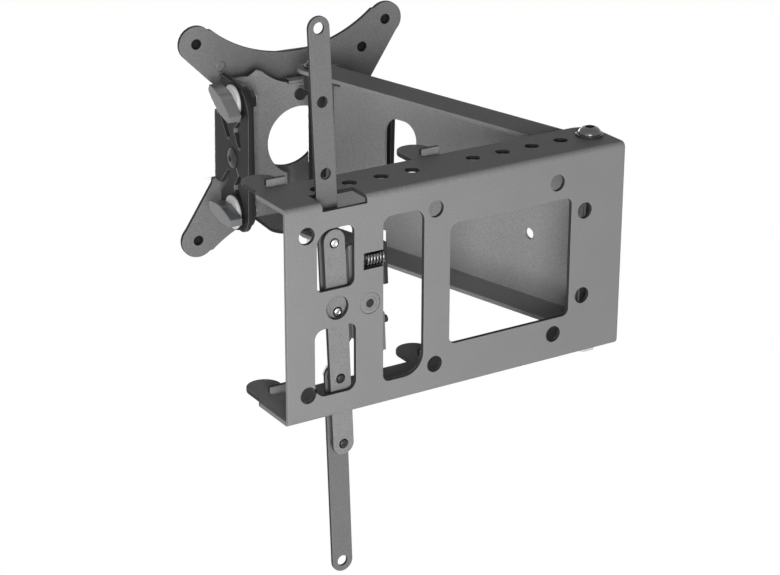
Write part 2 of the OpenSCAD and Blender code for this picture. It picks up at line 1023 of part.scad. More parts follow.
// The two ears, bent back from the plate between a relief above and one below
module screen_fold() {
    difference() {
        intersection() {
            translate([0, screen_back, ear_low])
                linear_extrude(height = ear_top - ear_low)
                    rotate(-90)
                        channel_section(screen_back - ear_front, ear_width, head_sheet, head_bend);
            sideways(-ear_width, ear_width)
                soft_rectangle([ear_front, ear_low], [screen_back, ear_top], [10, 0, 0, 13]);
        }
        for (side = [-1, 1])
            for (end = [-1, 1])
                translate([side * ear_width / 2, (relief_y + screen_back + cut) / 2, end * (relief_z + ear_top / 2)])
                    cube([2 * head_bend, screen_back + cut - relief_y, ear_top], center = true);
        right_relief(screen_y - cut);
    }
}

module screen_outline() {
    side = ear_width / 2 - head_bend;
    difference() {
        translate([plate_side, plate_rise])
            screen_arms();
        for (x = [-1, 1])
            translate([x * (side + screen_half / 2), 0])
                square([screen_half, 2 * relief_z], center = true);
    }
}

// The four arms, broader at the upper right and the lower left
module screen_arms() {
    flank = lobe_r * sqrt(0.5);
    side = ear_width / 2 - head_bend;
    low_side = screen_half - flank - (screen_half + flank - side);
    difference() {
        union() {
            for (x = [-1, 1])
                for (z = [-1, 1])
                    translate([x * screen_half, z * screen_half])
                        circle(r = lobe_r);
            polygon([
                for (quarter = [[1, 1], [-1, 1], [-1, -1], [1, -1]])
                    let (mirrored = quarter.x * quarter.y < 0)
                    for (i = mirrored ? [2, 1, 0] : [0, 1, 2])
                        let (corner = [
                            mirrored ? [side, low_side] : wide_corner,
                            [screen_half + flank, screen_half - flank],
                            [screen_half - flank, screen_half + flank],
                        ][i])
                        [quarter.x * corner.x, quarter.y * corner.y],
            ]);
        }
        for (z = [-1, 1])
            translate([0, z * (waist + waist_r)])
                circle(r = waist_r, $fn = 128);
    }
}

module screen_cuts() {
    upright(screen_y - cut, screen_back + cut) {
        circle(d = screen_centre_hole);
        for (pitch = [screen_pitch, screen_pitch_small])
            for (x = [-1, 1])
                for (z = [-1, 1])
                    translate([plate_side + x * pitch / 2, plate_rise + z * pitch / 2])
                        circle(d = screen_hole);
    }
    sideways(-ear_width, ear_width)
        ear_holes();
}

// Pivot and stud holes, the slots that end at the reliefs and the bowed cut-outs
module ear_holes() {
    for (place = concat([tilt_axis], knob_places))
        translate(place)
            circle(r = stud / 2 + running);
    for (side = [-1, 1]) {
        slot(
            [tilt_axis.x + 5.4, tilt_axis.y + side * 9.5], [relief_y - 0.6, tilt_axis.y + side * (relief_z + 1)],
            ear_cut_width);
        bowed_cut([tilt_axis.x - 7.5, tilt_axis.y + side * 8.3], side);
    }
}

// A narrow cut-out bowed away from the pivot
module bowed_cut(start, side) {
    bow = [4.5, side * 6];
    end = [0.2, side * 10.2];
    translate(start) {
        slot([0, 0], bow, ear_cut_width);
        slot(bow, end, ear_cut_width);
        polygon(side > 0 ? [[0, 0], bow, end] : [[0, 0], end, bow]);
    }
}

module each_side() {
    on_head()
        for (side = [-1, 1])
            translate([side * ear_width / 2, tilt_y, tilt_z])
                rotate([0, side * 90, 0])
                    children();
}

tilt_head_r = 5.1;
tilt_head_rise = 1.8;
ear_stack = 2 * head_sheet + bracket_gap;
ear_nut_r = stud * 0.9;
ear_nut_rise = 4;
stud_tail = ear_nut_rise + 1;
head_sink = 0.2;

module tilt_screws() {
    color([0.3, 0.3, 0.31])
        each_side() {
            button_head(tilt_head_r, tilt_head_rise, 0, stud * 0.3);
            translate([0, 0, -ear_stack - stud_tail])
                cylinder(r = stud / 2, h = ear_stack + stud_tail + head_sink);
        }
}

module pivot_screw_nuts() {
    color([0.55, 0.55, 0.56])
        each_side()
            hex_nut(ear_nut_r, stud / 2 + running, -ear_stack - ear_nut_rise, -ear_stack);
}

// Wing knobs on the left ear

disc_thick = 1;
disc_r = 9;
nylon_thick = 1.7;
nylon_r = 8.2;
knob_base = disc_thick + nylon_thick;
hub_r = stud / 2 + 1.8;
hub_rise = 6.3;
hub_roof = 1.5;
wing_thick = 7.8;
wing_tip = 3.4;
wing_lean = [-21, -1.5];

// Carries a piece to a knob's line, with Z out of the ear
module at_knob(i) {
    on_screen()
        translate([-ear_width / 2, knob_places[i].x, knob_places[i].y])
            rotate([0, -90, 0])
                children();
}

// The steel disc against the ear
module knob_disc() {
    ring(disc_r, stud / 2 + running, 0, disc_thick);
}

// The white washer between the disc and the knob
module knob_nylon() {
    ring(nylon_r, stud / 2 + running, disc_thick, knob_base);
}

// The outline of a wing, thick in the middle and blunt at both tips
module wing_outline() {
    bulge = (wing_thick - wing_tip) / 2;
    side_r = (wing_length * wing_length / 4 + bulge * bulge) / (2 * bulge);
    intersection() {
        translate([-wing_length / 2, -wing_thick])
            square([wing_length, 2 * wing_thick]);
        intersection_for(side = [-1, 1])
            translate([0, side * (side_r - wing_thick / 2)])
                circle(r = side_r, $fn = 256);
    }
}

// A plain wing round a hub, leaning by its own angle
module wing_knob(lean) {
    difference() {
        union() {
            translate([0, 0, knob_base])
                cylinder(r = hub_r, h = hub_rise);
            translate([0, 0, knob_base])
                rotate([0, 0, 90 + lean])
                    linear_extrude(height = hub_rise)
                        wing_outline();
        }
        translate([0, 0, knob_base - cut])
            cylinder(r = stud / 2 + running, h = hub_rise - hub_roof + cut);
    }
}

module knob_stud() {
    translate([0, 0, -ear_stack - stud_tail])
        cylinder(r = stud / 2, h = ear_stack + stud_tail + knob_base + hub_rise - hub_roof - head_sink);
}

module knob_nuts() {
    color([0.55, 0.55, 0.56])
        for (i = [0, 1])
            at_knob(i)
                hex_nut(ear_nut_r, stud / 2 + running, -ear_stack - ear_nut_rise, -ear_stack);
}

// A plain screw in the lower place of the right ear
module at_guide() {
    on_screen()
        translate([ear_width / 2, knob_places[1].x, knob_places[1].y])
            rotate([0, 90, 0])
                children();
}

module guide_screws() {
    color([0.3, 0.3, 0.31])
        at_guide() {
            button_head(tilt_head_r, tilt_head_rise, 0, stud * 0.3);
            translate([0, 0, -ear_stack - stud_tail])
                cylinder(r = stud / 2, h = ear_stack + stud_tail + head_sink);
        }
}

module guide_nuts() {
    color([0.55, 0.55, 0.56])
        at_guide()
            hex_nut(ear_nut_r, stud / 2 + running, -ear_stack - ear_nut_rise, -ear_stack);
}

module upper_knob() {
    color([0.38, 0.39, 0.4])
        at_knob(0)
            wing_knob(wing_lean[0]);
}

module upper_stud() {
    color([0.6, 0.6, 0.61])
        at_knob(0)
            knob_stud();
}

module upper_knob_washer() {
    color([0.92, 0.92, 0.9])
        at_knob(0)
            knob_nylon();
}

module upper_knob_disc() {
    color([0.2, 0.2, 0.21])
        at_knob(0)
            knob_disc();
}

module lower_knob() {
    color([0.38, 0.39, 0.4])
        at_knob(1)
            wing_knob(wing_lean[1]);
}

module lower_stud() {
    color([0.6, 0.6, 0.61])
        at_knob(1)
            knob_stud();
}

module lower_knob_washer() {
    color([0.92, 0.92, 0.9])
        at_knob(1)
            knob_nylon();
}

module lower_knob_disc() {
    color([0.2, 0.2, 0.21])
        at_knob(1)
            knob_disc();
}

wall_channel();
pivot_bolt();
pivot_washers();
pivot_spacers();
pivot_nut();
lock_lever();
lever_rivet();
lever_bush();
upper_strip();
lower_strip();
zinc_screws();
strip_spacers();
strip_nuts();
lower_strip_screws();
latch_pin();
return_spring();
folding_arm();
swivel_bolt();
swivel_washers();
swivel_nut();
tilt_bracket();
swivel_sleeve();
swivel_spacers();
bracket_rivet();
knob_nuts();
pivot_screw_nuts();
guide_screws();
guide_nuts();
screen_plate();
tilt_screws();
upper_knob();
upper_stud();
upper_knob_washer();
upper_knob_disc();
lower_knob();
lower_stud();
lower_knob_washer();
lower_knob_disc();
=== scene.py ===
import json
import math

import bmesh
import bpy
from mathutils import Matrix, Vector


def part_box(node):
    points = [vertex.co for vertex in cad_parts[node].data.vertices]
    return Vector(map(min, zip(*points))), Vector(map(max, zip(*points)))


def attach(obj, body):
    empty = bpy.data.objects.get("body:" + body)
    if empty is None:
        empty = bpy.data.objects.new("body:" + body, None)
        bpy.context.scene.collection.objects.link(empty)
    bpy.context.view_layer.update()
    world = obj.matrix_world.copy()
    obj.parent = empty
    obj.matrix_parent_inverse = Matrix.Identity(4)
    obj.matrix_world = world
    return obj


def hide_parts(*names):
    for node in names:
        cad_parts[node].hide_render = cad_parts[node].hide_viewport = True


# All lengths are metres, in the CAD's own frame.
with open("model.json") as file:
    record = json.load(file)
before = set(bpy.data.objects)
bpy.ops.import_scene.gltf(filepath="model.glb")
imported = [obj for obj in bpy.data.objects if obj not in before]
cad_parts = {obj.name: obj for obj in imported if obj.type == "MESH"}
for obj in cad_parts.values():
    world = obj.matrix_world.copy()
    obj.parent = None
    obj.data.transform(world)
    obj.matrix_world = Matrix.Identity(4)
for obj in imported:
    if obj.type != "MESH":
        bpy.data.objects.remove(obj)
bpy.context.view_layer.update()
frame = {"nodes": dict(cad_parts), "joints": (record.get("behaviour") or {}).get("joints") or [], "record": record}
nodes = frame["nodes"]
joints = {joint["name"]: joint for joint in frame["joints"]}
mounts = {mount["name"]: mount for mount in frame["record"]["mounts"]}
scene = bpy.context.scene
scene.view_settings.view_transform = "Standard"

# Camera: a long lens a little under a metre away, above and to the left of the mount,
# looking along its swung-out arm.
camera_lens = bpy.data.cameras.new("camera")
camera_lens.sensor_width = 36
camera_lens.lens = 105.05
camera_place = Vector((-0.47074, -0.71837, 0.34688))
ahead = Vector((0.4913, 0.7863, -0.3746)).normalized()
level_right = ahead.cross(Vector((0, 0, 1))).normalized()
level_up = level_right.cross(ahead)
roll = math.radians(0.2)
right = level_right * math.cos(roll) + level_up * math.sin(roll)
up = level_up * math.cos(roll) - level_right * math.sin(roll)
turn = Matrix((right, up, -ahead)).transposed()
camera = bpy.data.objects.new("camera", camera_lens)
camera.matrix_world = Matrix.Translation(camera_place) @ turn.to_4x4()
scene.collection.objects.link(camera)
scene.camera = camera

# Studio: a white floor with the mount held above it, a soft lamp in front and a little above,
# weaker ones at the left and low behind, and a little even light. Camera and mirror rays see
# plain white round the object.
world = bpy.data.worlds.new("white_studio")
scene.world = world
world.use_nodes = True


def feed(tree, socket, value):
    """Gives a socket a number, or links another socket to it."""
    if isinstance(value, (int, float)):
        socket.default_value = value
    else:
        tree.links.new(value, socket)


def figured(tree, operation, *values):
    """The result socket of one sum on sockets or numbers."""
    node = tree.nodes.new("ShaderNodeMath")
    node.operation = operation
    for socket, value in zip(node.inputs, values):
        feed(tree, socket, value)
    return node.outputs[0]


def white_to_the_eye(tree, seen, lit, target):
    """White where the camera, a gloss or a clear piece looks, and the lit surface elsewhere."""
    rays = tree.nodes.new("ShaderNodeLightPath").outputs
    camera_or_gloss = figured(tree, "MAXIMUM", rays["Is Camera Ray"], rays["Is Glossy Ray"])
    any_eye = figured(tree, "MAXIMUM", camera_or_gloss, rays["Is Transmission Ray"])
    mix = tree.nodes.new("ShaderNodeMixShader")
    tree.links.new(any_eye, mix.inputs[0])
    tree.links.new(lit, mix.inputs[1])
    tree.links.new(seen, mix.inputs[2])
    tree.links.new(mix.outputs[0], target)


sky = world.node_tree
sky.nodes.clear()
sky_white = sky.nodes.new("ShaderNodeBackground")
sky_white.inputs["Color"].default_value = (1, 1, 1, 1)
sky_light = sky.nodes.new("ShaderNodeBackground")
sky_light.inputs["Color"].default_value = (1, 1, 1, 1)
sky_light.inputs["Strength"].default_value = 0.022
sky_out = sky.nodes.new("ShaderNodeOutputWorld")
white_to_the_eye(sky, sky_white.outputs[0], sky_light.outputs[0], sky_out.inputs["Surface"])

floor_material = bpy.data.materials.new("pale_floor")
floor_material.use_nodes = True
floor_tree = floor_material.node_tree
floor_tree.nodes.clear()
floor_paint = floor_tree.nodes.new("ShaderNodeBsdfPrincipled")
floor_paint.inputs["Base Color"].default_value = (0.85, 0.85, 0.85, 1)
floor_paint.inputs["Roughness"].default_value = 0.9
floor_white = floor_tree.nodes.new("ShaderNodeEmission")
floor_out = floor_tree.nodes.new("ShaderNodeOutputMaterial")
white_to_the_eye(floor_tree, floor_white.outputs[0], floor_paint.outputs[0], floor_out.inputs["Surface"])
floor_mesh = bpy.data.meshes.new("floor")
floor_side = 6
floor_back = 8
floor_z = -0.42
floor_corners = [
    (-floor_side, -floor_side, floor_z),
    (floor_side, -floor_side, floor_z),
    (floor_side, floor_back, floor_z),
    (-floor_side, floor_back, floor_z),
]
floor_mesh.from_pydata(floor_corners, [], [(0, 1, 2, 3)])
floor_mesh.materials.append(floor_material)
floor = bpy.data.objects.new("floor", floor_mesh)
scene.collection.objects.link(floor)


def soft_lamp(name, from_direction, distance, size, level):
    """A square lamp aimed at the mount; level is the brightness it gives a white card there."""
    aim = Vector((0.03, 0.09, 0.0))
    direction = Vector(from_direction).normalized()
    lamp = bpy.data.lights.new(name, "AREA")
    lamp.shape = "SQUARE"
    lamp.size = size
    lamp.energy = level * (math.pi * distance) ** 2
    holder = bpy.data.objects.new(name, lamp)
    facing = direction.to_track_quat("Z", "Y").to_matrix().to_4x4()
    holder.matrix_world = Matrix.Translation(aim + direction * distance) @ facing
    scene.collection.objects.link(holder)


soft_lamp("front_lamp", (-0.46, -0.88, 0.13), distance=1.15, size=0.42, level=0.8)
soft_lamp("left_lamp", (-0.87, -0.49, 0.02), distance=1.2, size=0.7, level=0.28)
soft_lamp("back_lamp", (0.35, 0.93, -0.16), distance=1.2, size=0.4, level=0.4)

# Wall channel: one piece of 2 mm steel sheet, cut out flat, folded into a U and powder coated
# dark grey. The coat has a fine grain. The faces along the sheet's cut edges and in its holes
# are coloured near black, which is painted shade.


def coat_grain():
    """Shader group: the fine speckle and orange peel of a powder coat."""
    group = bpy.data.node_groups.new("coat_grain", "ShaderNodeTree")
    taken = ("Colour", "Grain Size", "Speckle", "Gloss Change", "Roughness")
    passed_on = ("Colour", "Roughness", "Height")
    for way, labels in (("INPUT", taken), ("OUTPUT", passed_on)):
        for label in labels:
            kind = "NodeSocketColor" if label == "Colour" else "NodeSocketFloat"
            group.interface.new_socket(label, in_out=way, socket_type=kind)
    given = group.nodes.new("NodeGroupInput").outputs
    result = group.nodes.new("NodeGroupOutput").inputs
    place = group.nodes.new("ShaderNodeTexCoord").outputs["Object"]
    grains = group.nodes.new("ShaderNodeTexNoise")
    grains.inputs["Detail"].default_value = 3
    grains.inputs["Roughness"].default_value = 0.65
    group.links.new(place, grains.inputs["Vector"])
    group.links.new(figured(group, "DIVIDE", 1.0, given["Grain Size"]), grains.inputs["Scale"])
    clouds = group.nodes.new("ShaderNodeTexNoise")
    clouds.inputs["Scale"].default_value = 38
    clouds.inputs["Detail"].default_value = 3
    group.links.new(place, clouds.inputs["Vector"])
    centred = figured(group, "SUBTRACT", grains.outputs["Fac"], 0.5)
    cloud_share = figured(group, "MULTIPLY_ADD", clouds.outputs["Fac"], 0.12, 0.94)
    specks = figured(group, "MULTIPLY_ADD", centred, given["Speckle"], cloud_share)
    tint = group.nodes.new("ShaderNodeVectorMath")
    tint.operation = "SCALE"
    group.links.new(given["Colour"], tint.inputs[0])
    group.links.new(specks, tint.inputs["Scale"])
    dulling = figured(group, "MULTIPLY_ADD", centred, given["Gloss Change"], given["Roughness"])
    group.links.new(tint.outputs[0], result["Colour"])
    group.links.new(dulling, result["Roughness"])
    group.links.new(grains.outputs["Fac"], result["Height"])
    return group


grain_group = coat_grain()


def coated(
    name, colour, roughness, specular, metallic=0.0, grain=0.0004, speckle=0.2, gloss=0.1, bump=0.05
):
    """A material whose fine surface comes from the coat grain group; grain is its size in metres."""
    material = bpy.data.materials.new(name)
    material.use_nodes = True
    tree = material.node_tree
    shader = tree.nodes["Principled BSDF"]
    shader.inputs["Metallic"].default_value = metallic
    shader.inputs["Specular IOR Level"].default_value = specular
    surface = tree.nodes.new("ShaderNodeGroup")
    surface.node_tree = grain_group
    surface.inputs["Colour"].default_value = (*colour, 1)
    surface.inputs["Grain Size"].default_value = grain
    surface.inputs["Speckle"].default_value = speckle
    surface.inputs["Gloss Change"].default_value = gloss
    surface.inputs["Roughness"].default_value = roughness
    relief = tree.nodes.new("ShaderNodeBump")
    relief.inputs["Strength"].default_value = bump
    relief.inputs["Distance"].default_value = 0.0002
    tree.links.new(surface.outputs["Colour"], shader.inputs["Base Color"])
    tree.links.new(surface.outputs["Roughness"], shader.inputs["Roughness"])
    tree.links.new(surface.outputs["Height"], relief.inputs["Height"])
    tree.links.new(relief.outputs[0], shader.inputs["Normal"])
    return material


# Corners nearer together than this are one corner.
weld_gap = 0.000002


def merged_copy(node_name):
    """The node's own shape as one closed mesh with whole flat faces."""
    shape = bmesh.new()
    shape.from_mesh(nodes[node_name].data)
    bmesh.ops.remove_doubles(shape, verts=shape.verts, dist=weld_gap)
    bmesh.ops.dissolve_limit(
        shape, angle_limit=math.radians(0.4), verts=shape.verts, edges=shape.edges, delimit={"NORMAL"}
    )
    for face in shape.faces:
        face.smooth = True
    mesh = bpy.data.meshes.new(node_name + "_shape")
    shape.to_mesh(mesh)
    shape.free()
    for layer in ("custom_normal", "sharp_face", "sharp_edge"):
        if layer in mesh.attributes:
            mesh.attributes.remove(mesh.attributes[layer])
    return mesh


def baked(piece):
    """Turns the piece's modifiers into plain mesh and takes them off."""
    bpy.context.view_layer.update()
    evaluated = piece.evaluated_get(bpy.context.evaluated_depsgraph_get())
    finished = bpy.data.meshes.new_from_object(evaluated)
    piece.modifiers.clear()
    piece.data = finished
    return piece


def with_cut_edges(mesh):
    """Gives the faces along the sheet's cut edges and in its holes the mesh's second material, the near-black
    painted shade.
    """
    thickest_sheet = 0.0022
    width_slack = 1.3
    least_sharp_share = 0.12
    large_face = 0.00015
    steep = math.radians(60)
    flat = math.radians(0.6)
    shape = bmesh.new()
    shape.from_mesh(mesh)
    for face in shape.faces:
        in_sheet = False
        for edge in face.edges:
            for other in edge.link_faces:
                in_line = other is not face and other.normal.angle(face.normal, 1.0) < flat
                if in_line and other.calc_area() > large_face:
                    in_sheet = True
        if in_sheet:
            continue
        around = sum(edge.calc_length() for edge in face.edges)
        sharp = sum(edge.calc_length() for edge in face.edges if edge.calc_face_angle(0.0) > steep)
        longest = max(edge.calc_length() for edge in face.edges)
        narrow = face.calc_area() < longest * thickest_sheet * width_slack
        if narrow and sharp > around * least_sharp_share:
            face.material_index = 1
    shape.to_mesh(mesh)
    shape.free()


def eased(node_name, body, material, width, cut_edge=None):
    """A copy of a CAD node with its sharp edges eased, as tumbling and coating leave them."""
    mesh = merged_copy(node_name)
    mesh.materials.append(material)
    # The second material paints shade along the cut edges and in the holes.
    if cut_edge:
        mesh.materials.append(cut_edge)
        with_cut_edges(mesh)
    piece = bpy.data.objects.new(node_name + "_eased", mesh)
    scene.collection.objects.link(piece)
    edge = piece.modifiers.new("edge", "BEVEL")
    edge.width = width
    edge.segments = 2
    edge.limit_method = "ANGLE"
    edge.angle_limit = math.radians(32)
    edge.use_clamp_overlap = False
    edge.harden_normals = True
    baked(piece)
    # An eased corner never stands out of the node's own box.
    low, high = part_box(node_name)
    for corner in piece.data.vertices:
        corner.co = [min(max(value, least), most) for value, least, most in zip(corner.co, low, high)]
    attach(piece, body)
    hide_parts(node_name)
    return piece


powder_coat = coated(
    "powder_coat", (0.25, 0.25, 0.253), roughness=0.48, specular=0.06, speckle=1.2, gloss=0.3, bump=0.35
)
# A near-black colour that is painted shade: on the faces along the sheets' cut edges and in their holes, on the
# screen plate's ears and in the lever rivet's bore.
near_black_painted_shade = coated(
    "near_black_painted_shade", (0.04, 0.04, 0.041), roughness=0.5, specular=0.08, speckle=0.4, gloss=0.25, bump=0.2
)
eased("wall_channel", "wall", powder_coat, 0.00032, cut_edge=near_black_painted_shade)

# Lock lever: a strip of 2 mm sheet behind the channel's web with two ears bent back, turning
# on a hollow rivet with a nylon bush. Its coat is the channel's.
black_steel = coated(
    "black_steel", (0.03, 0.03, 0.032), roughness=0.3, specular=0.35, speckle=0.3, gloss=0.2, bump=0.12
)
nylon = coated(
    "nylon", (0.82, 0.82, 0.8), roughness=0.42, specular=0.5, grain=0.001, speckle=0.06, bump=0.04
)
eased("lock_lever", "lever", powder_coat, 0.00028, cut_edge=near_black_painted_shade)
eased("lever_rivet", "wall", powder_coat, 0.00025)
eased("lever_bush", "wall", nylon, 0.0002)
eased("latch_pin", "lever", black_steel, 0.00035)

# Pull strips: two narrow strips of thinner sheet screwed to the lever, one up past the channel
# and one down, each with an open hole at its end for a cord.
strip_coat = coated(
    "strip_coat", (0.168, 0.168, 0.171), roughness=0.46, specular=0.18, speckle=1.2, gloss=0.3, bump=0.35
)
eased("upper_strip", "lever", strip_coat, 0.0003, cut_edge=near_black_painted_shade)
eased("lower_strip", "lever", strip_coat, 0.0003, cut_edge=near_black_painted_shade)
eased("strip_spacers", "lever", black_steel, 0.0002)

# Folding arm: a U of 2 mm sheet with round flange ends and one long window in its web. Its
# coat is a lighter copy of the channel's: painted light, for light that falls on its web.
arm_coat_painted_light = coated(
    "arm_coat_painted_light", (0.32, 0.32, 0.325), roughness=0.48, specular=0.04, speckle=1.6, gloss=0.3, bump=0.35
)
eased("folding_arm", "arm", arm_coat_painted_light, 0.00032)

# Tilt bracket: sheet with an ear at each side and two lugs for the swivel bolt, and a small
# flush rivet above its centre hole. The ears' outer faces take a darker colour than the rest
# of the bracket: painted shade, as the light hardly reaches them.
bracket_coat = coated(
    "bracket_coat", (0.37, 0.37, 0.375), roughness=0.46, specular=0.18, speckle=1.8, gloss=0.3, bump=0.35
)
# A darker copy of the bracket's coat for its ears' outer faces: painted shade.
ear_painted_shade = coated(
    "ear_painted_shade", (0.12, 0.12, 0.122), roughness=0.52, specular=0.1, speckle=0.8, gloss=0.25, bump=0.35
)
head_line = Vector(joints["head_tilt"]["axis"])
bracket = eased("tilt_bracket", "head", bracket_coat, 0.0003, cut_edge=near_black_painted_shade)
bracket.data.materials.append(ear_painted_shade)
for face in bracket.data.polygons:
    looks_left = face.normal.dot(head_line) < -0.5
    if looks_left and face.material_index == 0:
        face.material_index = bracket.data.materials.find(ear_painted_shade.name)
eased("bracket_rivet", "head", black_steel, 0.0003)

# Screen plate: the four-armed plate that the screen's back is screwed to, with two ears bent
# towards the arm and a short lip along its top waist. Its ears' outer faces take the near-black
# colour too: painted shade.
plate_coat = coated(
    "plate_coat", (0.23, 0.23, 0.234), roughness=0.46, specular=0.18, speckle=1.6, gloss=0.3, bump=0.35
)
plate = eased("screen_plate", "screen", plate_coat, 0.0003, cut_edge=near_black_painted_shade)
least_ear_face = 0.0001
# The ears' outer faces take the near-black colour: painted shade.
for face in plate.data.polygons:
    looks_left = face.normal.dot(head_line) < -0.98
    if looks_left and face.area > least_ear_face:
        face.material_index = plate.data.materials.find(near_black_painted_shade.name)

# Bolts and screws: turned in one piece with a low round head and a hex socket. Each is made
# where the CAD solid of its node stands, along that solid's own axis.


def turned_places(node_name, axis):
    """Top point and length of each solid of a node, along an axis."""
    shape = bmesh.new()
    shape.from_mesh(nodes[node_name].data)
    bmesh.ops.remove_doubles(shape, verts=shape.verts, dist=weld_gap)
    along = Vector(axis).normalized()
    side = along.orthogonal().normalized()
    other = along.cross(side)
    waiting = set(shape.verts)
    found = []
    for seed in shape.verts:
        if seed not in waiting:
            continue
        waiting.discard(seed)
        solid = [seed]
        reach = [seed]
        while reach:
            for edge in reach.pop().link_edges:
                for corner in edge.verts:
                    if corner in waiting:
                        waiting.discard(corner)
                        solid.append(corner)
                        reach.append(corner)
        spans = []
        for line in (along, side, other):
            heights = [corner.co.dot(line) for corner in solid]
            spans.append((min(heights), max(heights)))
        middle = side * (sum(spans[1]) / 2) + other * (sum(spans[2]) / 2)
        foot, top = spans[0]
        found.append((middle + along * top, top - foot))
    shape.free()
    return found


def sized_tree(name, *sizes):
    """A geometry tree with a geometry of places, named sizes and a material."""
    tree = bpy.data.node_groups.new(name, "GeometryNodeTree")
    tree.interface.new_socket("Places", in_out="INPUT", socket_type="NodeSocketGeometry")
    for label in sizes:
        tree.interface.new_socket(label, in_out="INPUT", socket_type="NodeSocketFloat")
    tree.interface.new_socket("Material", in_out="INPUT", socket_type="NodeSocketMaterial")
    tree.interface.new_socket("Pieces", in_out="OUTPUT", socket_type="NodeSocketGeometry")
    return tree, tree.nodes.new("NodeGroupInput")


def point_at(tree, **places):
    """A point whose named coordinates are sockets or numbers."""
    point = tree.nodes.new("ShaderNodeCombineXYZ")
    for label, value in places.items():
        feed(tree, point.inputs[label], value)
    return point.outputs[0]


def turned(tree, corners, around):
    """Turns an outline, given as radius and height pairs, round the Z axis."""
    ring_r = 0.02
    outline = tree.nodes.new("GeometryNodeJoinGeometry")
    for pair in zip(corners, corners[1:]):
        line = tree.nodes.new("GeometryNodeCurvePrimitiveLine")
        for end, (radius, height) in zip(("Start", "End"), pair):
            inwards = figured(tree, "SUBTRACT", radius, ring_r)
            down = figured(tree, "MULTIPLY", height, -1.0)
            tree.links.new(point_at(tree, X=inwards, Y=down), line.inputs[end])
        tree.links.new(line.outputs[0], outline.inputs[0])
    circle = tree.nodes.new("GeometryNodeCurvePrimitiveCircle")
    circle.inputs["Radius"].default_value = ring_r
    circle.inputs["Resolution"].default_value = around
    level = tree.nodes.new("GeometryNodeSetCurveNormal")
    level.mode = "Z_UP"
    sweep = tree.nodes.new("GeometryNodeCurveToMesh")
    weld = tree.nodes.new("GeometryNodeMergeByDistance")
    weld.inputs["Distance"].default_value = weld_gap
    tree.links.new(circle.outputs[0], level.inputs["Curve"])
    tree.links.new(level.outputs[0], sweep.inputs["Curve"])
    tree.links.new(outline.outputs[0], sweep.inputs["Profile Curve"])
    tree.links.new(sweep.outputs[0], weld.inputs["Geometry"])
    return weld.outputs[0]


def cut_prism(tree, body, radius, depth):
    """Takes a hexagonal hole out of a body, from the height 0 down to a depth."""
    prism = tree.nodes.new("GeometryNodeMeshCylinder")
    prism.inputs["Vertices"].default_value = 6
    tree.links.new(radius, prism.inputs["Radius"])
    tree.links.new(figured(tree, "MULTIPLY", depth, 2.0), prism.inputs["Depth"])
    cut = tree.nodes.new("GeometryNodeMeshBoolean")
    cut.operation = "DIFFERENCE"
    cut.solver = "EXACT"
    tree.links.new(body, cut.inputs["Mesh 1"])
    tree.links.new(prism.outputs["Mesh"], cut.inputs["Mesh 2"])
    return cut.outputs["Mesh"]


def set_on_places(tree, given, shape):
    """Puts the shape on every place, turned to the place's axis, as real mesh with its material."""
    points = tree.nodes.new("GeometryNodeMeshToPoints")
    axis = tree.nodes.new("GeometryNodeInputNamedAttribute")
    axis.data_type = "FLOAT_VECTOR"
    axis.inputs["Name"].default_value = "axis"
    turn_to = tree.nodes.new("FunctionNodeAlignRotationToVector")
    turn_to.axis = "Z"
    copies = tree.nodes.new("GeometryNodeInstanceOnPoints")
    real = tree.nodes.new("GeometryNodeRealizeInstances")
    smooth = tree.nodes.new("GeometryNodeSetShadeSmooth")
    finish = tree.nodes.new("GeometryNodeSetMaterial")
    result = tree.nodes.new("NodeGroupOutput")
    tree.links.new(given.outputs["Places"], points.inputs["Mesh"])
    tree.links.new(axis.outputs["Attribute"], turn_to.inputs["Vector"])
    tree.links.new(points.outputs[0], copies.inputs["Points"])
    tree.links.new(shape, copies.inputs["Instance"])
    tree.links.new(turn_to.outputs[0], copies.inputs["Rotation"])
    tree.links.new(copies.outputs[0], real.inputs[0])
    tree.links.new(real.outputs[0], smooth.inputs["Geometry"])
    tree.links.new(smooth.outputs[0], finish.inputs["Geometry"])
    tree.links.new(given.outputs["Material"], finish.inputs["Material"])
    tree.links.new(finish.outputs[0], result.inputs["Pieces"])


def screw_tree():
    """A button head with a hex socket on a plain shank; the place is the top of the head."""
    tree, given = sized_tree(
        "button_screw", "Head Radius", "Head Rise", "Shank Radius", "Length", "Socket"
    )
    size = given.outputs
    chamfer = 0.0004
    # Shares of the head's radius and of its rise, from the top down.
    dome = (
        (0.45, 0.06),
        (0.66, 0.17),
        (0.82, 0.34),
        (0.93, 0.54),
        (0.985, 0.75),
        (1.0, 0.9),
        (0.985, 1.0),
    )
    low =figured(tree, "MULTIPLY", size["Head Rise"], -1.0)
    tip = figured(tree, "MULTIPLY", size["Length"], -1.0)
    outline = [(0.0, 0.0)]
    for share, drop in dome:
        radius = figured(tree, "MULTIPLY", size["Head Radius"], share)
        outline.append((radius, figured(tree, "MULTIPLY", low, drop)))
    outline.append((size["Shank Radius"], low))
    outline.append((size["Shank Radius"], figured(tree, "ADD", tip, chamfer)))
    outline.append((figured(tree, "SUBTRACT", size["Shank Radius"], chamfer), tip))
    outline.append((0.0, tip))
    body = turned(tree, outline, 40)
    depth = figured(tree, "MULTIPLY", size["Head Rise"], 0.62)
    set_on_places(tree, given, cut_prism(tree, body, size["Socket"], depth))
    return tree


def made(name, tops, axis, tree, sizes, material):
    """A tree's shape, once on each top point and along the axis, as one piece of plain mesh."""
    places = bpy.data.meshes.new(name + "_places")
    places.from_pydata(tops, [], [])
    lines = places.attributes.new("axis", "FLOAT_VECTOR", "POINT")
    for value in lines.data:
        value.vector = Vector(axis).normalized()
    piece = bpy.data.objects.new(name, places)
    scene.collection.objects.link(piece)
    maker = piece.modifiers.new("maker", "NODES")
    maker.node_group = tree
    inputs = [item for item in tree.interface.items_tree if item.in_out == "INPUT"]
    sockets = {item.name: item.identifier for item in inputs}
    for label, value in sizes.items():
        maker[sockets[label]] = value
    maker[sockets["Material"]] = material
    return baked(piece)


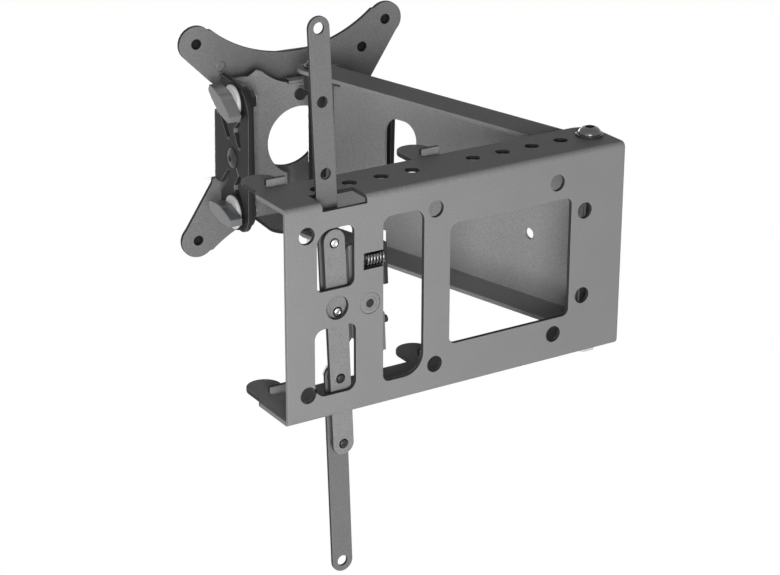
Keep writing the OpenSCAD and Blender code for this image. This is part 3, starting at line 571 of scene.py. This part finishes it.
def repeated(node_name, tree, axis, sizes, material, body):
    """Makes a node's like pieces with a tree, one on each of its solids."""
    tops = [top for top, length in turned_places(node_name, axis)]
    piece = made(node_name + "_made", tops, axis, tree, sizes, material)
    piece.data.set_sharp_from_angle(angle=math.radians(38))
    shape = bmesh.new()
    shape.from_mesh(piece.data)
    bmesh.ops.recalc_face_normals(shape, faces=shape.faces)
    shape.to_mesh(piece.data)
    shape.free()
    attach(piece, body)
    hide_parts(node_name)


zinc = coated(
    "zinc",
    (0.62, 0.63, 0.65),
    roughness=0.3,
    specular=0.5,
    metallic=1.0,
    grain=0.0006,
    speckle=0.25,
    gloss=0.3,
    bump=0.08,
)
bright_black = coated(
    "bright_black", (0.045, 0.045, 0.047), roughness=0.24, specular=0.8, speckle=0.3, gloss=0.2, bump=0.12
)
button_screw = screw_tree()
upright = (0, 0, 1)
to_the_wall = (0, -1, 0)
# In millimetres: the head's radius and rise, the shank's radius and the socket's.
for node_name, axis, head, rise, shank, socket, material, body, slot_name in (
    ("pivot_bolt", upright, 4.9, 3.4, 3.0, 2.25, bright_black, "wall", "black_steel"),
    ("swivel_bolt", upright, 4.9, 3.4, 3.0, 2.25, black_steel, "arm", "black_steel"),
    ("zinc_screws", to_the_wall, 1.7, 0.7, 1.6, 0.9, zinc, "lever", "zinc"),
    ("lower_strip_screws", to_the_wall, 1.7, 0.7, 1.6, 0.9, black_steel, "lever", "black_steel"),
    ("guide_screws", head_line, 5.1, 1.8, 2.5, 1.5, black_steel, "screen", "black_steel"),
):
    first_top, first_length = turned_places(node_name, axis)[0]
    screw_sizes = {
        "Head Radius": head / 1000,
        "Head Rise": rise / 1000,
        "Shank Radius": shank / 1000,
        "Length": first_length,
        "Socket": socket / 1000,
    }
    repeated(node_name, button_screw, axis, screw_sizes, material, body)
eased("tilt_screws", "head", black_steel, 0.0004)

# Washers and spacers: punched black washers on both bolts, turned dark nylon spacers and the
# sleeve that the bracket's lugs clamp on.


def ring_tree():
    """A flat ring with eased edges; the place is the middle of its upper face."""
    tree, given = sized_tree("flat_ring", "Outer Radius", "Inner Radius", "Thickness", "Edge")
    size = given.outputs
    foot = figured(tree, "MULTIPLY", size["Thickness"], -1.0)
    shoulder = figured(tree, "MULTIPLY", size["Edge"], -1.0)
    ankle = figured(tree, "ADD", foot, size["Edge"])
    face = figured(tree, "SUBTRACT", size["Outer Radius"], size["Edge"])
    mouth = figured(tree, "ADD", size["Inner Radius"], size["Edge"])
    outline = [
        (mouth, 0.0),
        (face, 0.0),
        (size["Outer Radius"], shoulder),
        (size["Outer Radius"], ankle),
        (face, foot),
        (mouth, foot),
        (size["Inner Radius"], ankle),
        (size["Inner Radius"], shoulder),
        (mouth, 0.0),
    ]
    set_on_places(tree, given, turned(tree, outline, 48))
    return tree


dark_nylon = coated(
    "dark_nylon", (0.05, 0.05, 0.052), roughness=0.45, specular=0.5, grain=0.001, speckle=0.1
)
flat_ring = ring_tree()
bolt_washer = {"Outer Radius": 0.006, "Inner Radius": 0.00305, "Thickness": 0.001, "Edge": 0.00015}
repeated("pivot_washers", flat_ring, upright, bolt_washer, black_steel, "wall")
repeated("swivel_washers", flat_ring, upright, bolt_washer, black_steel, "arm")
eased("pivot_spacers", "wall", dark_nylon, 0.0003)
eased("swivel_spacers", "head", dark_nylon, 0.0003)
eased("swivel_sleeve", "head", black_steel, 0.0002)

# Nuts and studs: hexagon nuts with eased corners, zinc on the bolts and the strips and black
# in the head, and the knobs' 5 mm studs.
for node_name, body, material, slot_name in (
    ("pivot_nut", "wall", zinc, "zinc"),
    ("swivel_nut", "arm", zinc, "zinc"),
    ("strip_nuts", "lever", zinc, "zinc"),
    ("pivot_screw_nuts", "head", black_steel, "black_steel"),
    ("guide_nuts", "screen", black_steel, "black_steel"),
    ("knob_nuts", "screen", black_steel, "black_steel"),
    ("upper_stud", "screen", zinc, "zinc"),
    ("lower_stud", "screen", zinc, "zinc"),
):
    eased(node_name, body, material, 0.0002)

# Wing knobs: moulded plastic wings on zinc studs, each on a white nylon washer over a dark
# rubber disc that rubs on the ear.


def moulded(node_name, body, material):
    """A copy of a CAD node with all its corners rounded, as plastic leaves a mould."""
    mesh = merged_copy(node_name)
    mesh.materials.append(material)
    piece = bpy.data.objects.new(node_name + "_moulded", mesh)
    scene.collection.objects.link(piece)
    skin = piece.modifiers.new("skin", "REMESH")
    skin.mode = "VOXEL"
    skin.voxel_size = 0.00022
    skin.use_smooth_shade = True
    rounding = piece.modifiers.new("rounding", "SMOOTH")
    rounding.factor = 0.5
    rounding.iterations = 9
    baked(piece)
    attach(piece, body)
    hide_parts(node_name)


# Near-black rubber for the knobs' discs; the same colour in the discs behind the plate's holes is painted shade.
rubber = coated(
    "rubber", (0.015, 0.015, 0.016), roughness=0.6, specular=0.12, grain=0.0005, speckle=0.2, bump=0.1
)
knob_plastic = coated(
    "knob_plastic", (0.2, 0.204, 0.21), roughness=0.26, specular=0.6, grain=0.0005, speckle=0.12, bump=0.08
)
stud_hole = 0.00255
knob_washer = {"Outer Radius": 0.0082, "Inner Radius": stud_hole, "Thickness": 0.0017, "Edge": 0.0004}
knob_disc = {"Outer Radius": 0.009, "Inner Radius": stud_hole, "Thickness": 0.001, "Edge": 0.0002}
for name in ("upper", "lower"):
    repeated(f"{name}_knob_washer", flat_ring, -head_line, knob_washer, nylon, "screen")
    repeated(f"{name}_knob_disc", flat_ring, -head_line, knob_disc, rubber, "screen")
    moulded(f"{name}_knob", f"{name}_wing", knob_plastic)

# Hole discs: a near-black disc sits in each of the plate's screw holes, painted shade for the
# dark seen through them, and a coated plug sits flush in the upper left hole of the inner
# pattern. The lever's hollow rivet has a near-black disc in its bore, painted shade in the hole.
outer_pattern = mounts["screen_100"]
inner_pattern = mounts["screen_75"]
plate_middle = Vector(outer_pattern["pos_m"])
plate_back = Vector(outer_pattern["axis"]).normalized()
plate_up = head_line.cross(plate_back)
hole_play = 0.00002
plug_r = outer_pattern["dims"]["hole_r_mm"] / 1000 - hole_play


def square_of_holes(pattern):
    """The hole centres of a square screw pattern, from its middle to the right and up."""
    half = pattern["dims"]["pcd_mm"] / 1000 / math.sqrt(8)
    return [(x, z) for x in (-half, half) for z in (-half, half)]


def plugs(name, holes, depth, radius, material):
    """Thin round discs in the plate's holes; depth is how far behind the plate's middle."""
    spots = [plate_middle + head_line * x + plate_back * depth + plate_up * z for x, z in holes]
    sizes = {"Outer Radius": radius, "Inner Radius": 0.0, "Thickness": 0.0005, "Edge": 0.0001}
    piece = made(name, spots, -plate_back, flat_ring, sizes, material)
    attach(piece, "screen")


# A near-black disc in the hollow rivet's bore: painted shade in the hole.
rivet_bore_shade = {"Outer Radius": 0.0017, "Inner Radius": 0.0, "Thickness": 0.0012, "Edge": 0.0002}
repeated("lever_rivet", flat_ring, to_the_wall, rivet_bore_shade, near_black_painted_shade, "wall")
outer_holes = square_of_holes(outer_pattern)
inner_holes = square_of_holes(inner_pattern)
upper_left_hole = inner_holes.pop(1)
# Near-black discs in the outer and inner screw holes: painted shade for the dark seen through them.
plugs("hole_shade_discs", outer_holes + inner_holes, 0.0003, plug_r, rubber)
plugs("flush_plug", [upper_left_hole], -0.001, plug_r, plate_coat)

# Return spring: a coil of blackened wire in its slot in the web, with a short straight tail at
# each end.


def spring_tree():
    """A coil along X with a tail from the foot of each end; the place is the first tail's tip."""
    tree, given = sized_tree(
        "return_spring", "Coil Radius", "Wire Radius", "Turns", "Coil Length", "Tail", "Far Tail"
    )
    size = given.outputs
    spiral = tree.nodes.new("GeometryNodeCurveSpiral")
    spiral.inputs["Resolution"].default_value = 24
    tree.links.new(size["Turns"], spiral.inputs["Rotations"])
    tree.links.new(size["Coil Radius"], spiral.inputs["Start Radius"])
    tree.links.new(size["Coil Radius"], spiral.inputs["End Radius"])
    tree.links.new(size["Coil Length"], spiral.inputs["Height"])
    lay = tree.nodes.new("GeometryNodeTransform")
    lay.inputs["Rotation"].default_value = (0.0, math.radians(90), 0.0)
    tree.links.new(point_at(tree, X=size["Tail"]), lay.inputs["Translation"])
    tree.links.new(spiral.outputs[0], lay.inputs["Geometry"])
    path = tree.nodes.new("GeometryNodeJoinGeometry")
    tree.links.new(lay.outputs[0], path.inputs[0])
    foot = figured(tree, "MULTIPLY", size["Coil Radius"], -1.0)
    coil_end = figured(tree, "ADD", size["Tail"], size["Coil Length"])
    far_tip = figured(tree, "ADD", coil_end, size["Far Tail"])
    for first, last in ((0.0, size["Tail"]), (coil_end, far_tip)):
        tail = tree.nodes.new("GeometryNodeCurvePrimitiveLine")
        tree.links.new(point_at(tree, X=first, Z=foot), tail.inputs["Start"])
        tree.links.new(point_at(tree, X=last, Z=foot), tail.inputs["End"])
        tree.links.new(tail.outputs[0], path.inputs[0])
    wire = tree.nodes.new("GeometryNodeCurvePrimitiveCircle")
    wire.inputs["Resolution"].default_value = 12
    tree.links.new(size["Wire Radius"], wire.inputs["Radius"])
    sweep = tree.nodes.new("GeometryNodeCurveToMesh")
    sweep.inputs["Fill Caps"].default_value = True
    tree.links.new(path.outputs[0], sweep.inputs["Curve"])
    tree.links.new(wire.outputs[0], sweep.inputs["Profile Curve"])
    set_on_places(tree, given, sweep.outputs[0])
    return tree


spring_wire = coated(
    "spring_wire",
    (0.16, 0.16, 0.165),
    roughness=0.22,
    specular=0.5,
    metallic=1.0,
    grain=0.0003,
)
low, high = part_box("return_spring")
wire_r = 0.00048
coil_length = 0.0084
tail_length = 0.00176
least_tail = 0.0008
spring_sizes = {
    "Coil Radius": (high[2] - low[2]) / 2 - wire_r,
    "Wire Radius": wire_r,
    "Turns": 6.0,
    "Coil Length": coil_length,
    "Tail": tail_length,
    "Far Tail": max(least_tail, high[0] - low[0] - tail_length - coil_length),
}
slot_end = Vector((low[0], (low[1] + high[1]) / 2, (low[2] + high[2]) / 2))
spring = made("return_spring_made", [slot_end], upright, spring_tree(), spring_sizes, spring_wire)
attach(spring, "lever")
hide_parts("return_spring")
